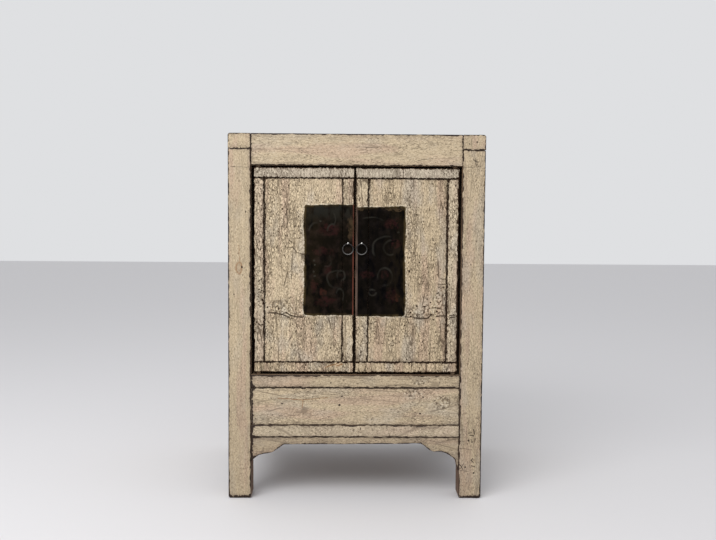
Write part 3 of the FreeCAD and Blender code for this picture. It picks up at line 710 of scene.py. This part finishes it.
def cream_layers(start):
    """The colour, roughness and height of the cream lacquer, and where it is rubbed through."""
    grain, place = attribute(start, "grain", 1), object_place(start)
    gap, crazed, soiled, greyed = (attribute(start, name) for name in ("edge_gap", *age_names))
    chipped, knotted, orange, dark, rough = marks(place)
    specks, rubbed = place.cloud(*speck_cells), rubbed_through(grain, gap)
    crack = cracks(grain, crazed).most(specks.rise(0.52, 0.58) * rough * rough_dark)
    pale = (dashes(grain).rise(0.44, 0.32) * dash_pale).most(specks.rise(0.46, 0.38) * rough * rough_pale)
    colour = pale.mix(cream_colour(grain, crazed, greyed), flake_pale)
    # brown beside each arris, where boards meet in joints: part grime, part painted shade
    arris_grime_and_shade = gap.rise(arris_grime_and_shade_reach, 0) * grain.cloud(50, 20, 20).rise(0.35, 0.65)
    # darker towards the bottom, below 400 mm: part grime, part painted shade
    low_grime_and_shade = place.part(Z).rise(400 * MM, 100 * MM)
    # soiled is each board's own dirt; the other two terms are grime mixed with painted shade
    grime_and_shade_mix = arris_grime_and_shade * arris_grime_and_shade_share + (low_grime_and_shade * low_grime_and_shade_share + soiled)
    colour = grime_and_shade_mix.mix(colour, grime_and_shade_brown)
    colour = (crack * crack_shows).mix(colour, crack_brown)
    colour = (orange * orange_shows).most(knotted * knot_shows).mix(colour, orange_brown)
    gone = lost_spots(grain, crazed).most(rubbed).most(chipped).most(dark * dark_shows)
    colour = gone.mix(colour, coat_brown)
    roughness = rubbed * -0.1 + crack * 0.2 + 0.6
    height = 1 - crack * crack_deep - gone * coat_deep
    return colour, roughness, height, rubbed


def cream_lacquer():
    material, surface, start = new_material("crazed_cream_lacquer")
    colour, roughness, height, _ = cream_layers(start)
    surface.inputs["Specular IOR Level"].default_value = 0.25
    connect(surface, start.tree, Base_Color=colour, Roughness=roughness, Normal=bumped(height, 0.5, 0.4 * MM))
    return material


cream = cream_lacquer()
print(cream.name, len(cream.node_tree.nodes), "nodes")

# %% [markdown]
# ## The field round the pulls
# Where hands reach for the rings, a field of the older black lacquer was left open across both
# doors, with a faint vine scroll in dull grey green and dark red. Its outline was cut by hand and
# the cream stands a little proud round it; a paler band of cream along that edge is a painted
# highlight. The scroll could be drawn on an image; here it is a list of arcs and leaves, each a
# few nodes, so it stays crisp and hardly shows, as on the real thing.
# An arc is part of an oval ring: the oval's middle and reaches, the angle at which the arc's own
# middle lies, and how many degrees it sweeps. The edges of the doors have worn to a red ground
# beside it.

# %% Door paint with its dark field
vine_grey, leaf_red = (0.036, 0.034, 0.028, 1), (0.024, 0.0075, 0.0075, 1)
ember, worn_tan, green_dust = (0.035, 0.012, 0.008, 1), (0.060, 0.039, 0.021, 1), (0.014, 0.0135, 0.011, 1)
rim_olive, stain_olive = (0.060, 0.041, 0.017, 1), (0.15, 0.11, 0.06, 1)
field_round = 6 * MM
field_edge, rim_edge = (0.5 * MM, -0.4 * MM), (-7.5 * MM, -0.5 * MM)
lip_highlight_edge, stain_edge = (4.5 * MM, 0.8 * MM), (4 * MM, 0.5 * MM)
vine_thick, vine_end = 3.4, 0.15
rim_most, lip_highlight_most, stain_most, dust_most = 0.9, 0.55, 0.6, 0.7
fields = {              # two corners in millimetres, and the colour and width of the worn edge
    "left": ((-122, 436.5), (12, 696), (0.115, 0.036, 0.024, 1), 3.4 * MM),
    "right": ((-20, 434.5), (114.5, 691.5), (0.098, 0.066, 0.052, 1), 5.2 * MM),
}
field_blacks = {        # the lacquer and its dust
    "left": ((0.0030, 0.0024, 0.0019, 1), (0.015, 0.0095, 0.0075, 1)),
    "right": ((0.0016, 0.0014, 0.0016, 1), (0.0066, 0.0049, 0.0047, 1)),
}
vines = {
    "left": (
        (-48, 522, 20.5, 20, 200, 170), (-36, 530, 9.2, 11.8, 60, 290), (-46, 530, 16, 12, 100, 90),
        (-69, 564, 10, 12.6, 330, 190), (-59, 662, 9.2, 16, 10, 110), (-57, 634, 12, 16, 120, 120),
        (-39, 483, 8, 17, 60, 210), (-94, 636, 16, 18, 130, 110),
    ),
    "right": (
        (33, 646, 38, 21, 80, 70), (69, 593, 31, 30, 140, 140), (80, 596, 17, 17, 190, 210),
        (67, 528, 17, 21, 45, 290), (38, 491, 9, 7.4, 270, 190), (38, 491, 8, 7, 90, 110),
    ),
}
leaves = {
    "left": (
        (-64, 636, 23, 13), (-77, 587, 27, 9), (-73, 470, 25, 10), (-66, 545, 8, 10), (-100, 505, 8, 16),
    ),
    "right": (
        (92, 605, 12, 9), (85, 483, 13, 18), (84, 652, 20, 12), (26, 533, 16, 9), (67, 533, 8, 10),
    ),
}
pearls = {
    "left": (
        (-98, 565, 2.6, 2.6), (-98, 555, 2.2, 2.6), (-100, 539, 2.4, 2.4), (-97, 529, 2.6, 2.2),
        (-84, 658, 3, 2),
    ),
    "right": ((37, 497, 3, 1.5), (98, 632, 2.5, 2.5)),
}
worn_spots = {"left": ((-13, 642, 8, 26),), "right": ((8, 684, 7, 4), (88, 685, 24, 3))}
embers = {"left": ((-78, 491, 9, 8.5),), "right": ((96, 478, 5, 8),)}


def field_gap(place, low, high):
    """How far a place is outside a field with round corners, in metres."""
    middle = [(a + b) / 2 * MM for a, b in zip(low, high)]
    inner = [(b - a) / 2 * MM - field_round for a, b in zip(low, high)]
    offset = place.vector("ABSOLUTE", place.vector("SUBTRACT", place, (middle[0], 0, middle[1])))
    beyond = place.vector("SUBTRACT", offset, (inner[0], 1, inner[1]))
    return place.vector("MAXIMUM", beyond, (0, 0, 0)).length() - field_round


def vine_arc(place, x, z, wide, high, middle, sweep):
    """1 along part of an oval ring, whose middle lies at that angle; angles are in degrees."""
    offset = place.vector("SUBTRACT", place, (x * MM, 0, z * MM))
    offset = place.vector("MULTIPLY", offset, (1 / (wide * MM), 0, 1 / (high * MM)))
    aimed = (math.cos(math.radians(middle)), 0, math.sin(math.radians(middle)))
    facing = place.vector("DOT_PRODUCT", place.vector("NORMALIZE", offset), aimed, output=1)
    limit = math.cos(math.radians(sweep / 2))
    thin = vine_thick / ((wide + high) / 2)
    on_ring = (offset.length() - 1).absolute().rise(thin, thin * 0.2)
    return on_ring * facing.rise(limit - vine_end, limit + vine_end)


def field_colour(place, side):
    """The black of the field, its dust, and the scroll on it."""
    dust = place.cloud(20, 20, 20, detail=4.0).rise(0.42, 0.75)
    dust = dust.most(place.cloud(5, 5, 7).rise(0.58, 0.8) * dust_most)
    colour = dust.mix(*field_blacks[side])
    if side == "left":
        haze = place.part(Z).rise(645 * MM, 685 * MM) * place.cloud(12, 12, 20, detail=3.0).rise(0.3, 0.6)
        colour = haze.mix(colour, green_dust)
    faded = place.cloud(30, 30, 30, detail=3.0).rise(0.3, 0.65)
    drawn, blurred = place.shaken(20, 3), place.shaken(13, 10)
    broken = place.cloud(7, 7, 7, detail=3.0).rise(0.32, 0.62)
    painted = (
        (leaves, blurred, oval, broken * (faded * 0.45 + 0.35), leaf_red),
        (embers, blurred, oval, broken * 0.6 + 0.2, ember),
        (vines, drawn, vine_arc, faded * 0.35 + 0.08, vine_grey),
        (pearls, drawn, oval, broken * 0.6 + 0.2, vine_grey),
        (worn_spots, place.shaken(9, 10), oval, broken * 0.5 + 0.2, worn_tan),
    )
    for shapes, places, shape, strength, paint in painted:
        mask = most_of(shape(places, *numbers) for numbers in shapes[side]) * strength
        colour = mask.mix(colour, paint)
    return colour


def door_paint(side):
    """Cream lacquer with the dark field of one door."""
    material, surface, start = new_material("cream_and_dark_field_" + side)
    colour, roughness, height, rubbed = cream_layers(start)
    place, grain = object_place(start), attribute(start, "grain", 1)
    low, high, edge_colour, edge_width = fields[side]
    off_middle = (place.part(X) - meeting_x).absolute()
    gap = field_gap(place.shaken(60, 4.5).shaken(9, 1.6), low, high)
    inside = gap.rise(*field_edge)
    outer = off_middle.rise(60 * MM, 105 * MM) * 0.6 + 0.4
    rim = gap.rise(*rim_edge) * place.cloud(12, 12, 30, detail=3.0).rise(0.3, 0.55) * outer
    dark = (rim * rim_most).mix(field_colour(place, side), rim_olive)
    edge = off_middle.rise(edge_width + 2.1 * MM, edge_width + 1.4 * MM)
    patchy = grain.cloud(40, 10, 10, detail=3.0).rise(0.3, 0.6) * 0.5
    patchy = patchy + place.part(Z).rise(640 * MM, 560 * MM) * 0.3 + 0.2
    dark = (edge * patchy).mix(dark, edge_colour)
    # painted highlight: a paler band of cream just outside the field, along its proud edge
    lip_highlight = gap.rise(*lip_highlight_edge) * (1 - rubbed) * place.cloud(6, 6, 5).rise(0.4, 0.62) * lip_highlight_most
    stain = gap.rise(*stain_edge) * place.cloud(13, 13, 7, detail=3.0).rise(0.47, 0.58) * stain_most
    colour = inside.mix(stain.mix(lip_highlight.mix(colour, flake_pale), stain_olive), dark)
    roughness = roughness * (1 - inside) + inside * 0.5
    height = height * (1 - inside)
    surface.inputs["Specular IOR Level"].default_value = 0.012
    connect(surface, start.tree, Base_Color=colour, Roughness=roughness, Normal=bumped(height, 0.5, 0.5 * MM))
    return material


door_paints = {side: door_paint(side) for side in ("left", "right")}
print({side: len(paint.node_tree.nodes) for side, paint in door_paints.items()}, "nodes")

# %% [markdown]
# ## The older dark lacquer and the bare wood
# The dark coat is a thin brown-black lacquer, dull with dust and worn to the wood in places; inside
# the doors' joints no dust reached it, so it is darker there. The unpainted boards are old elm: a
# warm grey brown with darker rings drawn out along the grain and fine pores. Wood is often made
# from a wave texture, but its bands look printed; here the rings are the contour lines of a noise
# that is about forty times longer than it is wide.

# %% Dark lacquer and bare wood
wood_light, wood_dark = (0.23, 0.145, 0.08, 1), (0.10, 0.055, 0.028, 1)
wood_dust, coat_side, coat_worn = (0.30, 0.24, 0.17, 1), (0.14, 0.078, 0.046, 1), (0.20, 0.13, 0.085, 1)
ring_cells, pore_cells, rings_across = (420, 11, 16), (12, 0.9, 1.2), 9


def bare_colour(grain):
    """Old elm with drawn-out rings and pores."""
    levels = grain.shaken(80, 4).cloud(*ring_cells, detail=1.0) * rings_across
    rings = levels.math("PINGPONG", levels, 0.5)
    colour = rings.rise(0.05, 0.45).mix(wood_dark, wood_light)
    pores = grain.cloud(*pore_cells, detail=1.0).rise(0.58, 0.68)
    colour = (pores * 0.6).mix(colour, wood_dark)
    return (grain.cloud(100, 60, 60).rise(0.45, 0.8) * 0.5).mix(colour, wood_dust)


def bare_wood():
    material, surface, start = new_material("aged_bare_elm")
    grain = attribute(start, "grain", 1)
    normal = bumped(grain.cloud(50, 1.2, 2), 0.4, 0.3 * MM)
    connect(surface, start.tree, Base_Color=bare_colour(grain), Roughness=0.8, Normal=normal)
    return material


def dark_lacquer(name, side_colour, worn_colour):
    material, surface, start = new_material(name)
    grain = attribute(start, "grain", 1)
    worn = grain.cloud(30, 8, 10, detail=3.0).rise(0.5, 0.7)
    streaks = grain.cloud(60, 2.5, 4, detail=3.0).rise(0.3, 0.7)
    colour = (worn * 0.8).mix(side_colour, worn_colour).shaded(streaks * 0.45 + 0.7)
    normal = bumped(grain.cloud(20, 2, 3), 0.3, 0.2 * MM)
    surface.inputs["Specular IOR Level"].default_value = 0.2
    connect(surface, start.tree, Base_Color=colour, Roughness=worn * 0.2 + 0.55, Normal=normal)
    return material


wood = bare_wood()
coat = dark_lacquer("old_dark_lacquer", coat_side, coat_worn)
joint_coat = dark_lacquer("dark_lacquer_in_joints", coat_brown, coat_side)
print(wood.name, len(wood.node_tree.nodes), "nodes;", coat.name, len(coat.node_tree.nodes), "nodes")

# %% [markdown]
# ## The standing part
# Forty-two boards make the part that stands on the floor, and one more lies loose in it. They could
# be written out one by one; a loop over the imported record's list of pieces does them all. What is
# left to choose is how fine the net of a board has to be, finest on the front, and its age: how far
# it is crazed, soiled and greyed. A name in the tables stands for every board whose name starts so.

# %% Wear and paint the carcass
front = (
    "post_front", "top_end", "top_rail_front", "middle_rail_front", "lower_rail_front",
    "lower_panel_front", "apron_front",
)
outside = ("post", "middle_rail", "lower_rail", "lower_panel", "side_panel", "apron", "top_board")
ages = {
    "post_front_right": (0.6, 0.10, 0), "post": (0.4, 0, 0), "top_end": (0.4, 0, 0),
    "side_panel": (0.8, 0, 0), "top_board": (0.7, 0, 0), "lower_panel": (0.7, 0, 0),
    "lower_rail": (0.6, -0.10, 0.3), "middle_rail": (0.6, 0.11, 0), "apron": (0.6, 0.24, 0),
    "door_panel_right": (1, 0.15, 0), "door_panel": (1, 0, 0.1), "door_top_rail": (0.84, -0.03, 0.8),
    "door_bottom_rail": (1, 0.04, 0), "door_hinge": (1.04, 0, 0.35), "door": (1, 0, 0.2),
}
usual_age = (0.5, 0, 0)


def first_match(node, table, usual):
    """The value of the first name in a table that a node's name starts with."""
    return next((value for name, value in table.items() if node.startswith(name)), usual)


def net_step(node):
    """How fine the net of slices is on a board."""
    if node.startswith(front):
        return fine_step
    return plain_step if node.startswith(outside) else hidden_step


for node in record["behaviour"]["bodies"]["carcass"] + ["lift_board"]:
    age = first_match(node, ages, usual_age)
    worn_board(node, [cream, coat, wood], age, net_step(node), carcass_finish)

# %% [markdown]
# ## The doors
# Each door is a flush board between two stiles, with rails that run right across their ends. Its
# hinge stile ends in round pivots that show a little above and below the door, still dark.
# On the two rails the paint has cracked across the wood, as it does on a narrow board that shrinks,
# so there its crazing is turned upright.

# %% Doors
for side in ("left", "right"):
    for node in record["behaviour"]["bodies"]["door_" + side]:
        if node.startswith("door"):
            age, upright = first_match(node, ages, usual_age), "_rail_" in node
            worn_board(node, [door_paints[side], joint_coat, wood], age, fine_step, door_finish, upright)

# %% [markdown]
# ## The ring pulls
# Each pull is a forged ring in the eye of a bent strip of iron. The imported ring is eight-sided
# across its wire, which is right for its weight but shows. A curve with a round section could be
# swept instead; here a circle is spun about the ring's middle, and noise leaves the hammer's marks.
# The iron is brown with age. The eye's top is polished where the ring swings in it and carries a
# painted highlight, near white; towards its bottom the ring is lighter, part polish where it is
# held and part painted highlight.

# %% Iron
# the near-white colour is a painted highlight on the polished eye and ring
iron_grey, iron_brown, iron_polish_and_highlight = (0.042, 0.039, 0.038, 1), (0.016, 0.013, 0.012, 1), (0.90, 0.88, 0.84, 1)
wire_radius, wire_flats, ring_steps = 1.6 * MM, 12, 64
hammer_wave, hammer_depth, pin_ease = 5 * MM, 0.22 * MM, 0.25 * MM
eye_above, eye_reach = 1.5 * MM, 3 * MM
held_polish_and_highlight = 0.12


def dark_iron():
    material, surface, start = new_material("dark_forged_iron")
    patina = object_place(start).cloud(6, 6, 6, detail=3.0).rise(0.4, 0.6)
    # the mesh carries where the painted highlight and polish lie
    colour = attribute(start, "bright").mix(patina.mix(iron_grey, iron_brown), iron_polish_and_highlight)
    connect(surface, start.tree, Base_Color=colour, Metallic=0.8, Roughness=patina * 0.2 + 0.42)
    return material


def round_ring(side):
    """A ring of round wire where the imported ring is."""
    low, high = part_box("ring_" + side)
    middle = (low + high) / 2
    radius = (high.x - low.x) / 2 - wire_radius
    mesh = bmesh.new()
    turned = Matrix.Translation(middle + Vector((0, 0, radius))) @ Matrix.Rotation(math.pi / 2, 4, "Y")
    bmesh.ops.create_circle(mesh, segments=wire_flats, radius=wire_radius, matrix=turned)
    bmesh.ops.spin(
        mesh, geom=mesh.verts[:] + mesh.edges[:], cent=middle, axis=(0, 1, 0), angle=2 * math.pi,
        steps=ring_steps, use_merge=True,
    )
    bmesh.ops.recalc_face_normals(mesh, faces=mesh.faces)
    return mesh


def hammer(mesh):
    """Pushes a forged piece in a little, unevenly."""
    mesh.normal_update()
    for vert in mesh.verts:
        vert.co -= vert.normal * hammer_depth * swell(vert.co / hammer_wave)


def eased_pin(side):
    """A copy of the eye with its arrises eased."""
    mesh = plain_copy("ring_pin_" + side)
    sharp = [edge for edge in mesh.edges if edge.calc_face_angle_signed() > SHARP]
    bmesh.ops.bevel(mesh, geom=sharp, offset=pin_ease, segments=2, profile=0.5, affect="EDGES", material=-1)
    return mesh


def polish_and_highlight_of(mesh, side, worn):
    """How much polish and painted highlight each vertex has: most at the eye, a little towards the ring's
    bottom.
    """
    low, high = (corner.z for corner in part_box("ring_" + side))
    values = []
    for vert in mesh.verts:
        # painted highlight on the eye's top, where the iron is also polished
        eye_polish_and_highlight = 1 - abs(vert.co.z - high - eye_above) / eye_reach
        # lighter towards the ring's bottom: polish where it is held, and painted highlight
        below = worn * ((high - vert.co.z) / (high - low)) ** 2
        values.append(max(0, eye_polish_and_highlight, below) * (vert.co.y < post_low.y))
    return values


iron = dark_iron()
irons = (("round_ring_", "ring_", round_ring, held_polish_and_highlight), ("eye_pin_", "ring_pin_", eased_pin, 0))
for side in ("left", "right"):
    for name, node, make, worn in irons:
        mesh = make(side)
        hammer(mesh)
        shade_smooth(mesh)
        bright = polish_and_highlight_of(mesh, side, worn)
        piece = new_piece(name + side, mesh, node + side, [iron])
        carry(piece.data, "bright", "FLOAT", bright)
        print(piece.name, len(piece.data.polygons), "faces")

# %% [markdown]
# ## Floor and light
# The photograph was taken outdoors under an even sky. A plain pale floor and a pale surround stand
# for it, with one large soft lamp above and in front, so that the gaps and the space under the
# cabinet go dark by themselves. A small sun would be simpler, but it would draw hard shadows that
# an overcast day doesn't have.

# %% Floor, lamp and surround
floor_reach, sky_strength, lamp_watts = 12.0, 0.76, 62
floor_mesh = bmesh.new()
bmesh.ops.create_grid(floor_mesh, x_segments=1, y_segments=1, size=floor_reach)
floor_data = bpy.data.meshes.new("floor")
floor_mesh.to_mesh(floor_data)
floor_mesh.free()
floor = bpy.data.objects.new("floor", floor_data)
bpy.context.scene.collection.objects.link(floor)
floor_material, floor_surface, floor_start = new_material("pale_floor")
connect(floor_surface, floor_start.tree, Base_Color=(0.70, 0.69, 0.70, 1), Roughness=0.9)
floor_data.materials.append(floor_material)

world = bpy.data.worlds.new("even_sky")
world.use_nodes = True
world.node_tree.nodes["Background"].inputs["Color"].default_value = (0.97, 0.98, 1.0, 1)
world.node_tree.nodes["Background"].inputs["Strength"].default_value = sky_strength
bpy.context.scene.world = world
bpy.context.scene.view_settings.view_transform = "Standard"

lamp = bpy.data.objects.new("soft_lamp", bpy.data.lights.new("soft_lamp", "AREA"))
lamp.data.energy = lamp_watts
lamp.data.shape = "RECTANGLE"
lamp.data.size, lamp.data.size_y = 2.4, 1.6
lamp.location = (-1.1, -2.1, 2.4)
lamp.rotation_euler = (math.radians(48), 0, math.radians(-26))
bpy.context.scene.collection.objects.link(lamp)
print("lamp", lamp.data.energy, "W")
